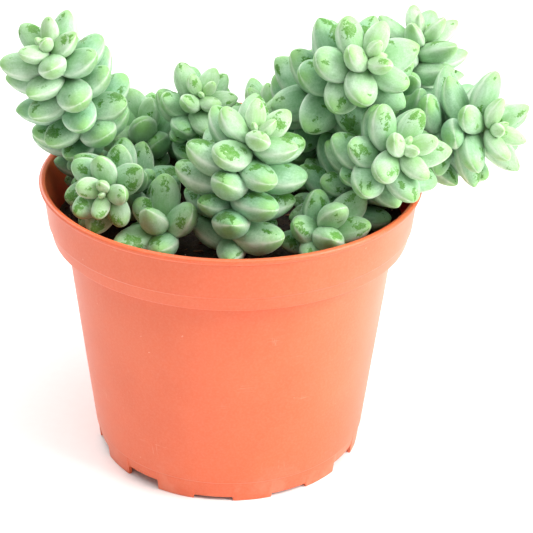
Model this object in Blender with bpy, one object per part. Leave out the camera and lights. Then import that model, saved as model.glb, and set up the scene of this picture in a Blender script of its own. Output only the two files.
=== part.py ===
"""A potted burro's tail: a plastic nursery pot, its soil, thick-leaved shoots and a few fallen leaves.

Tables and constants are in millimetres with the pot's axis at the origin and its feet on Z = 0.
Everything is scaled to metres when a mesh is made, and at the end the whole plant is moved so that
the origin lies on the ground under the middle of its bounding box.
"""

import math
from collections import namedtuple

import bmesh
import bpy
import numpy as np
from mathutils import Matrix, Vector

MM = 0.001
UP = np.array((0.0, 0.0, 1.0))
FRONT = np.array((0.0, -1.0, 0.0))
GAP = 0.3  # clearance between neighbouring solids
CURVE_STEPS = 24

# Pot
POT_HEIGHT = 84.8
LIP_RADIUS = 54.0
LIP_HEIGHT = 1.4
LIP_MIDDLE = POT_HEIGHT - LIP_HEIGHT / 2
BAND_HEIGHT = 16.4
BAND_RIDGE = 12.4
BAND_TOP_RADIUS = 52.84
RIDGE_RADIUS = 51.6
BAND_FOOT_RADIUS = 50.7
BODY_TOP_RADIUS = 47.0
FOOT_RADIUS = 39.65
FOOT_RING_HEIGHT = 6.4
FOOT_RING_STEP = 0.3
WALL = 1.1
FLOOR_UNDERSIDE = 3.6
FLOOR_THICKNESS = 1.2
FEET = 11
FIRST_FOOT = math.radians(10.0)  # from the front, turning to the right
NOTCH_ANGLE = math.radians(16.3)
SHALLOW_NOTCH = 1.2
DEEP_NOTCH = 3.0
DEEP_NOTCHES = (1, 2, 5, 8, 9)
DRAIN_HOLES = 5
DRAIN_RADIUS = 3.6
DRAIN_CIRCLE = 23.0
SEGMENTS = 4 * FEET

# Soil
SOIL_TOP = 71.5
SOIL_RINGS = (0.0, 12.0, 24.0, 36.0)
SOIL_SEGMENTS = 32
SOCKET_DEPTH = 12.0

# Shoots: route of the stem from the soil to the tip, length and plumpness of a grown leaf,
# and the heading in degrees at which the spiral of leaves starts
STEM_RADIUS = 1.7
STEM_SIDES = 5
STEM_STEP = 5.0
STEM_TAPER = 0.45
GOLDEN_ANGLE = math.radians(137.508)
SHOOTS = {
    "shoot_left_tall": (((-34, 15, 72), (-39, 7, 89), (-43, -3, 108), (-49, -12, 126)), 15.0, 0.60, 0),
    "shoot_center": (((1, -25, 72), (0, -24, 85), (3, -24, 98), (7, -27, 109)), 16.5, 0.60, 40),
    "shoot_back_left": (((-19, 28, 72), (-15, 16, 88), (-8, 1, 108)), 13.5, 0.58, 80),
    "shoot_left_low": (((-23, 25, 72), (-24, 21, 81), (-26, 15, 91)), 15.0, 0.60, 120),
    "shoot_front_left": (((-25, 5, 72), (-29, -8, 83), (-34, -26, 90)), 14.5, 0.58, 160),
    "shoot_right_tall": (((26, 26, 72), (24, 18, 89), (28, 4, 107), (37, -13, 124)), 17.0, 0.60, 200),
    "shoot_back_right": (((33, 24, 72), (40, 25, 89), (48, 25, 101), (55, 23, 118)), 17.5, 0.50, 240),
    "shoot_far_right": (((39, 10, 72), (49, 6, 89), (59, -1, 99), (71, -15, 105)), 17.0, 0.50, 280),
    "shoot_right_front": (((30, -5, 72), (34, -10, 85), (39, -18, 96), (46, -28, 105)), 16.0, 0.58, 320),
    "shoot_front_low": (((-17, -18, 72), (-18, -20, 75), (-19, -23, 79)), 16.0, 0.58, 10),
    "shoot_front_right_low": (((24, -21, 72), (25, -23, 76), (26, -26, 80)), 15.5, 0.58, 70),
    "shoot_back_center": (((8, 36, 72), (9, 34, 83), (12, 30, 93)), 14.5, 0.58, 50),
}
# Shoots that lost their tip, and the age of the youngest leaf still on them
PINCHED = {"shoot_front_low": 6, "shoot_front_right_low": 6, "shoot_left_low": 5}
# Leaf spacing along a shoot, counted from its youngest leaf, closer together in the crown
FIRST_LEAF = 0.5
LEAF_PITCH = 1.35
CROWN_CROWDING = 6.3
CROWN_LEAVES = 7.0
BARE_FOOT = 2.0
# Growth with age, counted in leaves: how far a leaf leans off the stem, and its size
YOUNG_LEAN = 18.0
LEAN_GAIN = 70.0
LEAN_AGES = 5.0
LATE_LEAN = 0.6
UPTURN = 0.0
BUD_SIZE = 0.24
GROWTH_AGES = 4.0
LATE_GROWTH = 0.003
UNEVENNESS = 0.05
UNEVEN_STEP = 7.3
BUD_PLUMPNESS = 0.05
BUD_AGES = 3.0
# Shape of a leaf
LEAF_CURL = 0.15
FOOT_POWER = 0.62
TIP_POWER = 0.64
NECK_END = 0.3
NECK_WIDTH = 0.25
FIRST_SOLID_LEAF = 2  # younger ones are hidden in the bud
LEAF_SIDES = 5
LEAF_SLIMMER = 0.9
LEAF_RINGS = (0.45, 0.80)
LEAF_TOP = 0.80
LEAF_BELLY = 0.94
LEAF_TIP = 0.985
LOOSE_LEAF_FOOT = 0.03
# Crowding: leaves turn about their feet until they stop pressing on what is near
TOUCH_AT = np.array((0.16, 0.38, 0.62, 0.86))  # shares of a leaf's length
TOUCH_WIDTH = np.array((0.60, 0.95, 0.98, 0.68)) * 0.47  # its half thickness there, in widths
NEAR_LEAVES = 21.0
NEAR_STEMS = 17.0
FAR_APART = 24.0
STRANGER_PUSH = 0.5
SISTER_PUSH = 0.3
STEM_PUSH = 0.6
WALL_PUSH = 0.6
WALL_LIFT = 0.4
MOST_WALL_PUSH = 6.0
HOMING = 0.03
MOST_TURN = 0.12
SPREAD_ROUNDS = 120
SOIL_CLEARANCE = 0.6
CROWDED_SIZES = (1.0, 0.9, 0.8, 0.7, 0.6)
RIM_HALF = 0.9
BEADS = np.linspace(0.08, 0.96, 12)
MIDDLE_BEAD = 6

# Fallen leaves: foot, tip and width
LOOSE_LEAVES = {
    "loose_leaf_standing": ((-16.0, 9.0, 72.6), (-17.5, 7.5, 81.5), 4.6),
    "loose_leaf_wall": ((-44.0, 1.0, 75.0), (-40.0, -11.0, 75.4), 6.0),
    "loose_leaf_front": ((-2.0, -45.0, 75.2), (-14.0, -43.5, 75.2), 6.4),
}

Leaf = namedtuple("Leaf", "shoot age foot direction stem length width")


def unit(vectors):
    return vectors / np.linalg.norm(vectors, axis=-1, keepdims=True)


# ---------------------------------------------------------------- where the leaves are


def smooth_route(points, step):
    """Evenly spaced points along a smooth curve through the route's own points, and its length."""
    own = np.asarray(points, float)
    ends = np.vstack([2 * own[0] - own[1], own, 2 * own[-1] - own[-2]])
    line = []
    for a, b, c, d in zip(ends[:-3], ends[1:-2], ends[2:-1], ends[3:]):
        for t in np.linspace(0, 1, CURVE_STEPS, endpoint=False):
            cubic = (3 * b - a - 3 * c + d) * t**3
            line.append(0.5 * (2 * b + (c - a) * t + (2 * a - 5 * b + 4 * c - d) * t**2 + cubic))
    line = np.array(line + [own[-1]])
    along = np.concatenate([[0], np.cumsum(np.linalg.norm(np.diff(line, axis=0), axis=1))])
    wanted = np.linspace(0, along[-1], max(4, round(along[-1] / step)))
    return np.stack([np.interp(wanted, along, line[:, k]) for k in range(3)], 1), along[-1]


def stem_frames(line):
    """The stem's direction and one untwisted sideways direction at each of its points."""
    ahead = unit(np.gradient(line, axis=0))
    side = unit(np.cross(ahead[0], (0.0, 1.0, 0.2)))
    sides = []
    for direction in ahead:
        side = unit(side - direction * (side @ direction))
        sides.append(side)
    return ahead, np.array(sides)


def shoot_leaves(shoot):
    """The leaves of one shoot, from the youngest at its tip down to the oldest."""
    route, grown_length, plumpness, first_turn = SHOOTS[shoot]
    line, length = smooth_route(route, 0.5)
    ahead, sides = stem_frames(line)
    leaves = []
    while True:
        age = len(leaves) + PINCHED.get(shoot, 0)
        crowding = CROWN_CROWDING * (1 - math.exp(-len(leaves) / CROWN_LEAVES))
        back = FIRST_LEAF + LEAF_PITCH * len(leaves) - crowding
        if back > length - BARE_FOOT:
            return leaves
        place = (len(line) - 1) * (1 - back / length)
        low = min(int(place), len(line) - 2)
        share = place - low
        foot = line[low] * (1 - share) + line[low + 1] * share
        stem = unit(ahead[low] * (1 - share) + ahead[low + 1] * share)
        side = unit(sides[low] - stem * (sides[low] @ stem))
        heading = age * GOLDEN_ANGLE + math.radians(first_turn)
        out = side * math.cos(heading) + np.cross(stem, side) * math.sin(heading)
        lean = YOUNG_LEAN + LEAN_GAIN * (1 - math.exp(-age / LEAN_AGES)) + LATE_LEAN * age
        lean = math.radians(lean)
        direction = unit(stem * math.cos(lean) + out * math.sin(lean) + UP * UPTURN)
        growth = BUD_SIZE + (1 - BUD_SIZE) * (1 - math.exp(-age / GROWTH_AGES)) + LATE_GROWTH * age
        leaf_length = grown_length * growth * (1 + UNEVENNESS * math.sin(UNEVEN_STEP * age))
        width = leaf_length * (plumpness + BUD_PLUMPNESS * math.exp(-age / BUD_AGES))
        leaves.append(Leaf(shoot, age, foot, direction, stem, leaf_length, width))


def pushed_apart(a, b, reach, share):
    """How far to move points a off points b that are nearer than reach."""
    away = a - b
    distance = np.linalg.norm(away, axis=-1) + 1e-9
    return away / distance[..., None] * (np.clip(reach - distance, 0, None) * share)[..., None]


def wall_middle(height):
    """Radius of the middle of the pot's wall at a height inside its band, and of the lip above it."""
    heights = (POT_HEIGHT - BAND_HEIGHT, POT_HEIGHT - LIP_HEIGHT, LIP_MIDDLE)
    radii = (BAND_FOOT_RADIUS - WALL / 2, BAND_TOP_RADIUS - WALL / 2, LIP_RADIUS - RIM_HALF)
    return np.interp(height, heights, radii)


def nearest_on_wall(points):
    """The point of the wall's middle that is level with each point, or the rim for those above it."""
    return level_with(points, np.minimum(points[..., 2], LIP_MIDDLE))


def level_with(points, height):
    """The point of the wall's middle in each point's heading, at a height."""
    height = np.broadcast_to(height, points.shape[:-1])[..., None]
    return np.concatenate([unit(points[..., :2]) * wall_middle(height), height], -1)


def off_the_wall(points, radii, feet):
    """Lifts leaves over the pot's rim, and keeps those that grow below it inside the wall."""
    outward = unit(points[..., :2])
    around = np.hypot(points[..., 0], points[..., 1])
    low = (feet[:, 2] < POT_HEIGHT + 1)[:, None] & (points[..., 2] < POT_HEIGHT)
    room = wall_middle(points[..., 2]) - RIM_HALF - 2 * GAP - around - radii
    inward = np.where(low, np.clip(-room, 0, MOST_WALL_PUSH), 0)[..., None]
    push = np.concatenate([-WALL_PUSH * outward * inward, WALL_LIFT * inward], -1)
    reach = np.where(low, 0, radii + RIM_HALF + GAP)
    return push + pushed_apart(points, nearest_on_wall(points), reach, 1.0)


def spread(leaves, stems, stem_owners):
    """Turns the leaves about their feet until they stop pressing into each other and what is near."""
    owners = np.array([leaf.shoot for leaf in leaves])
    feet = np.array([leaf.foot for leaf in leaves])
    directions = np.array([leaf.direction for leaf in leaves])
    lengths = np.array([leaf.length for leaf in leaves])[:, None]
    radii = np.array([leaf.width for leaf in leaves])[:, None] * TOUCH_WIDTH
    reach = lengths * TOUCH_AT
    middle = feet + directions * lengths * 0.6
    near = np.linalg.norm(middle[:, None] - middle[None], axis=-1) < NEAR_LEAVES
    first, second = np.nonzero(np.triu(near, 1))
    strangers = (owners[first] != owners[second])[:, None, None]
    at_foot = np.zeros((len(TOUCH_AT), len(TOUCH_AT)), bool)
    at_foot[0, :] = at_foot[:, 0] = True  # leaves of one shoot do touch where they meet the stem
    pair_reach = radii[first][:, :, None] + radii[second][:, None] + np.where(strangers, 2 * GAP, 0)
    pair_reach = np.where(at_foot & ~strangers, 0, pair_reach)
    pair_share = np.where(strangers, STRANGER_PUSH, SISTER_PUSH)
    by_stem = np.linalg.norm(middle[:, None] - stems[None], axis=-1) < NEAR_STEMS
    leaf, stem = np.nonzero(by_stem & (owners[:, None] != stem_owners[None]))
    home = directions.copy()
    for _ in range(SPREAD_ROUNDS):
        points = feet[:, None] + directions[:, None] * reach[..., None]
        push = off_the_wall(points, radii, feet)
        force = pushed_apart(points[first][:, :, None], points[second][:, None], pair_reach, pair_share)
        np.add.at(push, first, force.sum(2))
        np.add.at(push, second, -force.sum(1))
        stem_reach = radii[leaf] + STEM_RADIUS + 2 * GAP
        np.add.at(push, leaf, pushed_apart(points[leaf], stems[stem][:, None], stem_reach, STEM_PUSH))
        push[..., 2] += np.clip(SOIL_TOP + SOIL_CLEARANCE + radii - points[..., 2], 0, None)
        turn = (push / reach[..., None]).sum(1) + HOMING * (home - directions)
        turn -= directions * (turn * directions).sum(1, keepdims=True)
        size = np.linalg.norm(turn, axis=1, keepdims=True)
        directions = unit(directions + turn * np.minimum(1, MOST_TURN / (size + 1e-9)))
    return [leaf._replace(direction=way) for leaf, way in zip(leaves, directions)]


def leaf_half_width(share, width):
    """Half a leaf's width at a share of its length: a narrow foot, a belly and a blunt point."""
    belly = FOOT_POWER / (FOOT_POWER + TIP_POWER)
    outline = (share / belly) ** FOOT_POWER * ((1 - share) / (1 - belly)) ** TIP_POWER
    return np.maximum(outline, np.where(share < NECK_END, NECK_WIDTH, 0)) * width / 2


def leaf_axis(leaf, share):
    """Points on the middle line of a leaf, which curls up towards the stem's tip."""
    upper = unit(leaf.stem - leaf.direction * (leaf.stem @ leaf.direction))
    share = np.asarray(share, float)[:, None]
    return leaf.foot + leaf.length * (leaf.direction * share + upper * LEAF_CURL * share**2)


def leaf_beads(leaf):
    """Points and radii that fill a leaf, for testing what it meets."""
    return leaf_axis(leaf, BEADS), leaf_half_width(BEADS, leaf.width)


def has_room(leaf, stems):
    """Whether a leaf stays clear of the other shoots' stems, the rim and the soil."""
    points, radii = leaf_beads(leaf)
    to_stem = np.linalg.norm(points[:, None] - stems[None], axis=-1) - radii[:, None] - STEM_RADIUS
    wall = np.stack([nearest_on_wall(points), level_with(points, LIP_MIDDLE)])
    to_wall = np.linalg.norm(points - wall, axis=-1) - radii - RIM_HALF
    to_soil = points[:, 2] - radii - SOIL_TOP
    return to_stem.min() > GAP and to_wall.min() > GAP and to_soil.min() > GAP


def touch(one, other):
    """Whether two leaves, each given as its beads, come nearer than the gap."""
    if np.linalg.norm(one[0][MIDDLE_BEAD] - other[0][MIDDLE_BEAD]) > FAR_APART:
        return False
    apart = np.linalg.norm(one[0][:, None] - other[0][None], axis=-1)
    return (apart - one[1][:, None] - other[1][None]).min() < GAP


def loose_leaf(name):
    """A fallen leaf: one that lies has its upper side up, and one that stands has it to the front."""
    foot, tip, width = LOOSE_LEAVES[name]
    along = np.subtract(tip, foot)
    length = np.linalg.norm(along)
    upper = FRONT if along[2] > length / 2 else UP
    return Leaf(name, 0, np.array(foot), along / length, upper, length, width)


def grow():
    """Every leaf that has room. A crowded one stays smaller, and an older one is gone."""
    leaves = [leaf for shoot in SHOOTS for leaf in shoot_leaves(shoot)]
    beads = {shoot: smooth_route(SHOOTS[shoot][0], 1.5)[0] for shoot in SHOOTS}
    stems = np.concatenate(list(beads.values()))
    stem_owners = np.repeat(list(beads), [len(line) for line in beads.values()])
    leaves = spread(leaves, stems, stem_owners)
    loose = [loose_leaf(name) for name in LOOSE_LEAVES]
    chosen = [(leaf, leaf_beads(leaf)) for leaf in loose]
    for leaf in sorted(leaves, key=lambda leaf: leaf.age):
        strangers = [bead for other, bead in chosen if other.shoot != leaf.shoot]
        for size in CROWDED_SIZES:
            tried = leaf._replace(length=leaf.length * size, width=leaf.width * size)
            mine = leaf_beads(tried)
            free = has_room(tried, stems[stem_owners != leaf.shoot])
            if free and not any(touch(mine, theirs) for theirs in strangers):
                chosen.append((tried, mine))
                break
    return [leaf for leaf, _ in chosen]


# ---------------------------------------------------------------- meshes


def metres(points):
    return [Vector(point) * MM for point in points]


def new_object(name, mesh, material=None):
    thing = bpy.data.objects.new(name, mesh)
    bpy.context.scene.collection.objects.link(thing)
    if material:
        mesh.materials.append(material)
    return thing


def finish_mesh(bm, name, material=None):
    bmesh.ops.recalc_face_normals(bm, faces=bm.faces)
    mesh = bpy.data.meshes.new(name)
    bm.to_mesh(mesh)
    bm.free()
    return new_object(name, mesh, material)


def bridge(bm, rings):
    """Quads between rings of equally many vertices, and a fan to a ring of one."""
    for lower, upper in zip(rings, rings[1:]):
        count = max(len(lower), len(upper))
        for k in range(count):
            after = (k + 1) % count
            if len(lower) == 1:
                corners = (lower[0], upper[after], upper[k])
            elif len(upper) == 1:
                corners = (lower[k], lower[after], upper[0])
            else:
                corners = (lower[k], lower[after], upper[after], upper[k])
            bm.faces.new(corners)


def turned(name, profile, segments, material):
    """A solid of revolution. The profile's first and last points are on the axis."""
    bm = bmesh.new()
    rings = []
    for radius, height in profile:
        count = segments if radius else 1
        angles = [math.tau * k / segments for k in range(count)]
        ring = [(radius * math.sin(a), -radius * math.cos(a), height) for a in angles]
        rings.append([bm.verts.new(point) for point in metres(ring)])
    bridge(bm, rings)
    return finish_mesh(bm, name, material)


def cut(target, cutter):
    """Takes the cutter away from the target, and hides the cutter."""
    cutter.hide_render = True
    cutter.display_type = "WIRE"
    modifier = target.modifiers.new("cut_" + cutter.name, "BOOLEAN")
    modifier.operation = "DIFFERENCE"
    modifier.solver = "EXACT"
    modifier.object = cutter


def paint(name, colour, roughness):
    material = bpy.data.materials.new(name)
    material.use_nodes = True
    shader = material.node_tree.nodes["Principled BSDF"]
    shader.inputs["Base Color"].default_value = (*colour, 1)
    shader.inputs["Roughness"].default_value = roughness
    return material


# ---------------------------------------------------------------- pot and soil


def body_radius(height):
    """Outer radius of the pot's plain tapered body."""
    return FOOT_RADIUS + (BODY_TOP_RADIUS - FOOT_RADIUS) * height / (POT_HEIGHT - BAND_HEIGHT)


def pot_profile():
    step = POT_HEIGHT - BAND_HEIGHT
    lip = POT_HEIGHT - LIP_HEIGHT
    floor_top = FLOOR_UNDERSIDE + FLOOR_THICKNESS
    outside = [
        (body_radius(0) - FOOT_RING_STEP, 0),
        (body_radius(FOOT_RING_HEIGHT) - FOOT_RING_STEP, FOOT_RING_HEIGHT),
        (body_radius(FOOT_RING_HEIGHT), FOOT_RING_HEIGHT + 0.4),
        (BODY_TOP_RADIUS, step),
        (BAND_FOOT_RADIUS, step),
        (RIDGE_RADIUS, POT_HEIGHT - BAND_RIDGE),
        (BAND_TOP_RADIUS, lip),
        (LIP_RADIUS, lip + 0.1),
        (LIP_RADIUS, POT_HEIGHT - 0.5),
        (LIP_RADIUS - 0.5, POT_HEIGHT),
    ]
    inside = [
        (LIP_RADIUS - 1.4, POT_HEIGHT),
        (LIP_RADIUS - 1.9, POT_HEIGHT - 0.5),
        (BAND_TOP_RADIUS - WALL, lip - 0.8),
        (BAND_FOOT_RADIUS - WALL, step + WALL),
        (BODY_TOP_RADIUS - WALL, step + WALL - 0.4),
        (body_radius(floor_top) - WALL, floor_top),
        (0, floor_top),
    ]
    underside = [
        (0, FLOOR_UNDERSIDE),
        (body_radius(FLOOR_UNDERSIDE) - FOOT_RING_STEP - WALL, FLOOR_UNDERSIDE),
        (body_radius(0) - FOOT_RING_STEP - WALL, 0),
    ]
    return underside + outside + inside


def heading(angle, radius, height):
    """A point at an angle from the front, turning to the right."""
    return Vector((radius * math.sin(angle), -radius * math.cos(angle), height)) * MM


def notch_cutter():
    """Wedges that leave the pot standing on feet."""
    bm = bmesh.new()
    pitch = math.tau / FEET
    for k in range(FEET):
        middle = FIRST_FOOT + pitch * (k + 0.5)
        top = DEEP_NOTCH if k in DEEP_NOTCHES else SHALLOW_NOTCH
        corners = []
        for height in (-1.0, top):
            for side in (-0.5, 0.5):
                angle = middle + side * NOTCH_ANGLE
                corners += [heading(angle, 36.0, height), heading(angle, 44.0, height)]
        verts = [bm.verts.new(corner) for corner in corners]
        for face in ((0, 1, 3, 2), (4, 6, 7, 5), (0, 4, 5, 1), (2, 3, 7, 6), (0, 2, 6, 4), (1, 5, 7, 3)):
            bm.faces.new([verts[i] for i in face])
    return finish_mesh(bm, "notches")


def upright_cutter(name, centres, radius, bottom, top, sides):
    """Upright round cutters at several places."""
    bm = bmesh.new()
    for x, y in centres:
        place = Matrix.Translation(Vector((x, y, (bottom + top) / 2)) * MM)
        bmesh.ops.create_cone(
            bm,
            cap_ends=True,
            segments=sides,
            radius1=radius * MM,
            radius2=radius * MM,
            depth=(top - bottom) * MM,
            matrix=place,
        )
    return finish_mesh(bm, name)


def make_pot():
    pot = turned("pot", pot_profile(), SEGMENTS, paint("pot", (0.80, 0.21, 0.10), 0.42))
    angles = [math.tau * k / DRAIN_HOLES for k in range(DRAIN_HOLES)]
    holes = [(DRAIN_CIRCLE * math.sin(a), -DRAIN_CIRCLE * math.cos(a)) for a in angles]
    cut(pot, notch_cutter())
    cut(pot, upright_cutter("drains", holes + [(0, 0)], DRAIN_RADIUS, 0.0, 8.0, 16))
    return pot


def soil_height(radius, angle):
    """The soil's uneven surface, highest at SOIL_TOP."""
    waves = math.sin(3 * angle + radius * 0.21) + math.sin(7 * angle - radius * 0.55)
    return SOIL_TOP - 0.8 + 0.35 * waves


def make_soil():
    floor = FLOOR_UNDERSIDE + FLOOR_THICKNESS + GAP
    ledge = POT_HEIGHT - BAND_HEIGHT + WALL
    side = BODY_TOP_RADIUS - WALL - GAP
    band = BAND_FOOT_RADIUS - WALL - GAP
    profile = [(0, floor), (body_radius(floor) - WALL - GAP, floor), (side, ledge - 0.4)]
    profile += [(side + 0.1, ledge + 0.6), (band, ledge + 0.6)]
    profile += [(band, SOIL_TOP - 0.8)] + [(radius, SOIL_TOP) for radius in SOIL_RINGS[::-1]]
    soil = turned("soil", profile, SOIL_SEGMENTS, paint("soil", (0.045, 0.026, 0.016), 0.95))
    for vertex in soil.data.vertices:
        x, y, z = vertex.co / MM
        if z > SOIL_TOP - 0.1:
            vertex.co.z = soil_height(math.hypot(x, y), math.atan2(y, x)) * MM
    feet = [route[0][:2] for route, *_ in SHOOTS.values()]
    bottom = SOIL_TOP - SOCKET_DEPTH - GAP
    cut(soil, upright_cutter("sockets", feet, STEM_RADIUS + GAP, bottom, SOIL_TOP + 2, 10))
    return soil


# ---------------------------------------------------------------- shoots


def stem_mesh(route):
    """A tapering stem from its end in the soil to just under the youngest leaf."""
    line, _ = smooth_route(route, STEM_STEP)
    ahead, sides = stem_frames(line)
    buried = line[0] - UP * SOCKET_DEPTH
    points = np.vstack([buried, line])
    ahead = np.vstack([UP, ahead])
    sides = np.vstack([sides[0], sides])
    bm = bmesh.new()
    rings = []
    for k, (point, way, side) in enumerate(zip(points, ahead, sides)):
        side = unit(side - way * (side @ way))
        radius = STEM_RADIUS * (1 - STEM_TAPER * max(0, k - 1) / (len(points) - 2))
        turns = [math.tau * n / STEM_SIDES for n in range(STEM_SIDES)]
        ring = [point + radius * (side * math.cos(a) + np.cross(way, side) * math.sin(a)) for a in turns]
        rings.append([bm.verts.new(corner) for corner in metres(ring)])
    bridge(bm, rings)
    bm.faces.new(rings[0][::-1])
    bm.faces.new(rings[-1])
    return bm


def add_leaf(bm, leaf, first_share=0.0):
    """A plain faceted leaf: a point at each end and two rings between them."""
    shares = np.array((first_share, *LEAF_RINGS, LEAF_TIP))
    middle = leaf_axis(leaf, shares)
    half = leaf_half_width(shares, leaf.width) * LEAF_SLIMMER
    upper = unit(leaf.stem - leaf.direction * (leaf.stem @ leaf.direction))
    side = np.cross(upper, leaf.direction)
    turns = [math.tau * (n + 0.5) / LEAF_SIDES for n in range(LEAF_SIDES)]
    rings = [[bm.verts.new(Vector(middle[0]) * MM)]]
    for point, width in zip(middle[1:-1], half[1:-1]):
        ring = []
        for a in turns:
            thick = LEAF_TOP if math.sin(a) > 0 else LEAF_BELLY
            ring.append(point + width * (side * math.cos(a) + upper * math.sin(a) * thick))
        rings.append([bm.verts.new(corner) for corner in metres(ring)])
    rings.append([bm.verts.new(Vector(middle[-1]) * MM)])
    bridge(bm, rings)


def shells(bm):
    """The connected groups of faces of a mesh."""
    waiting = set(bm.faces)
    while waiting:
        shell, edge = set(), [waiting.pop()]
        while edge:
            face = edge.pop()
            shell.add(face)
            beside = {other for side in face.edges for other in side.link_faces} & waiting
            waiting -= beside
            edge += beside
        yield shell


def size_of(shell):
    """Volume inside a shell, negative for a cavity."""
    volume = 0.0
    for face in shell:
        first, *rest = [vert.co for vert in face.verts]
        volume += sum(first.dot(b.cross(c)) for b, c in zip(rest, rest[1:]))
    return volume


def united(thing):
    """The mesh that the modifiers make, without the pockets closed in between crowded leaves."""
    bpy.context.view_layer.update()
    graph = bpy.context.evaluated_depsgraph_get()
    bm = bmesh.new()
    bm.from_mesh(bpy.data.meshes.new_from_object(thing.evaluated_get(graph)))
    pockets = [shell for shell in shells(bm) if size_of(shell) < 0]
    bmesh.ops.delete(bm, geom=[face for shell in pockets for face in shell], context="FACES")
    thing.modifiers.clear()
    bm.to_mesh(thing.data)
    bm.free()


def make_shoot(name, leaves, material):
    """One grown solid: the stem with every leaf united to it."""
    shoot = finish_mesh(stem_mesh(SHOOTS[name][0]), name, material)
    bm = bmesh.new()
    for leaf in leaves:
        if leaf.age >= FIRST_SOLID_LEAF:
            add_leaf(bm, leaf)
    foliage = finish_mesh(bm, name + "_leaves")
    union = shoot.modifiers.new("grown_together", "BOOLEAN")
    union.operation = "UNION"
    union.solver = "EXACT"
    union.use_self = True
    union.object = foliage
    united(shoot)
    bpy.data.objects.remove(foliage)
    return shoot


def make_loose_leaf(name, leaf, material):
    bm = bmesh.new()
    add_leaf(bm, leaf, first_share=LOOSE_LEAF_FOOT)
    return finish_mesh(bm, name, material)


def stand_on_origin(things):
    """Moves everything so that the origin is under the middle of the whole plant's box."""
    bpy.context.view_layer.update()
    graph = bpy.context.evaluated_depsgraph_get()
    corners = [Vector(c) for thing in things for c in thing.evaluated_get(graph).bound_box]
    middle = [(min(c[k] for c in corners) + max(c[k] for c in corners)) / 2 for k in (0, 1)]
    shift = Matrix.Translation((-middle[0], -middle[1], 0))
    for mesh in bpy.data.meshes:
        mesh.transform(shift)


def main():
    for thing in list(bpy.data.objects):
        bpy.data.objects.remove(thing)
    for mesh in list(bpy.data.meshes):
        bpy.data.meshes.remove(mesh)
    green = paint("leaf", (0.36, 0.60, 0.40), 0.5)
    leaves = grow()
    things = [make_pot(), make_soil()]
    for name in SHOOTS:
        things.append(make_shoot(name, [leaf for leaf in leaves if leaf.shoot == name], green))
    for leaf in leaves:
        if leaf.shoot in LOOSE_LEAVES:
            things.append(make_loose_leaf(leaf.shoot, leaf, green))
    stand_on_origin(things)


main()
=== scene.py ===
"""The looks of a potted burro's tail: bloomed leaves on short shoots, in soil, in a plastic nursery pot.

The tables and the leaf layout repeat the design's own, in millimetres with the pot's axis at the
origin and its feet on Z = 0. Meshes are made there, scaled to metres and moved to the pot's place.
"""

import math
from collections import defaultdict, namedtuple

import bmesh
import bpy
import numpy as np
from mathutils import Matrix, Vector


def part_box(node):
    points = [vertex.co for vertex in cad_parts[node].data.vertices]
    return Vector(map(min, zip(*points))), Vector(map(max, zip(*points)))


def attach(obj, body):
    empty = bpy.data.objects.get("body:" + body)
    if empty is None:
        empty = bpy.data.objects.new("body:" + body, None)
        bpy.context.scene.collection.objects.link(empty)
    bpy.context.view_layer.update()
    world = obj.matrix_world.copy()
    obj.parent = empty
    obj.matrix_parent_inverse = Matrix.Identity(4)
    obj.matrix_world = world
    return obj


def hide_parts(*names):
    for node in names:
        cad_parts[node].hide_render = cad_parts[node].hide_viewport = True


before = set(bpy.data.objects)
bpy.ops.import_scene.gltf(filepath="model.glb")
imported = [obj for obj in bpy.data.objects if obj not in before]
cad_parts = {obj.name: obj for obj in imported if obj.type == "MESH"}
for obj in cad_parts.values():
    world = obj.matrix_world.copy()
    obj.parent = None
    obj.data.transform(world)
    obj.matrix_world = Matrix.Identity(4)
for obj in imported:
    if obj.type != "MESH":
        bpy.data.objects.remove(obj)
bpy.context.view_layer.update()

MM = 0.001
UP = np.array((0.0, 0.0, 1.0))
FRONT = np.array((0.0, -1.0, 0.0))
GAP = 0.3  # clearance between neighbouring solids
POT_AXIS = np.append(np.mean(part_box("pot"), axis=0)[:2], 0.0)

# Pot, as designed
POT_HEIGHT = 84.8
LIP_RADIUS = 54.0
LIP_HEIGHT = 1.4
LIP_MIDDLE = POT_HEIGHT - LIP_HEIGHT / 2
BAND_HEIGHT = 16.4
BAND_RIDGE = 12.4
BAND_TOP_RADIUS = 52.84
RIDGE_RADIUS = 51.6
BAND_FOOT_RADIUS = 50.7
BODY_TOP_RADIUS = 47.0
FOOT_RADIUS = 39.65
FOOT_RING_HEIGHT = 6.4
FOOT_RING_STEP = 0.3
WALL = 1.1
FLOOR_UNDERSIDE = 3.6
FLOOR_THICKNESS = 1.2
FEET = 11
FOOT_PITCH = math.tau / FEET
FIRST_FOOT = math.radians(10.0)
NOTCH_ANGLE = math.radians(16.3)
NOTCH_EDGE = math.radians(0.45)  # over which a notch reaches its depth
SHALLOW_NOTCH = 1.2
DEEP_NOTCH = 3.0
DEEP_NOTCHES = (1, 2, 5, 8, 9)
DRAIN_HOLES = 5
DRAIN_RADIUS = 3.6
DRAIN_CIRCLE = 23.0
SOIL_TOP = 71.5
SOCKET_DEPTH = 12.0

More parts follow.
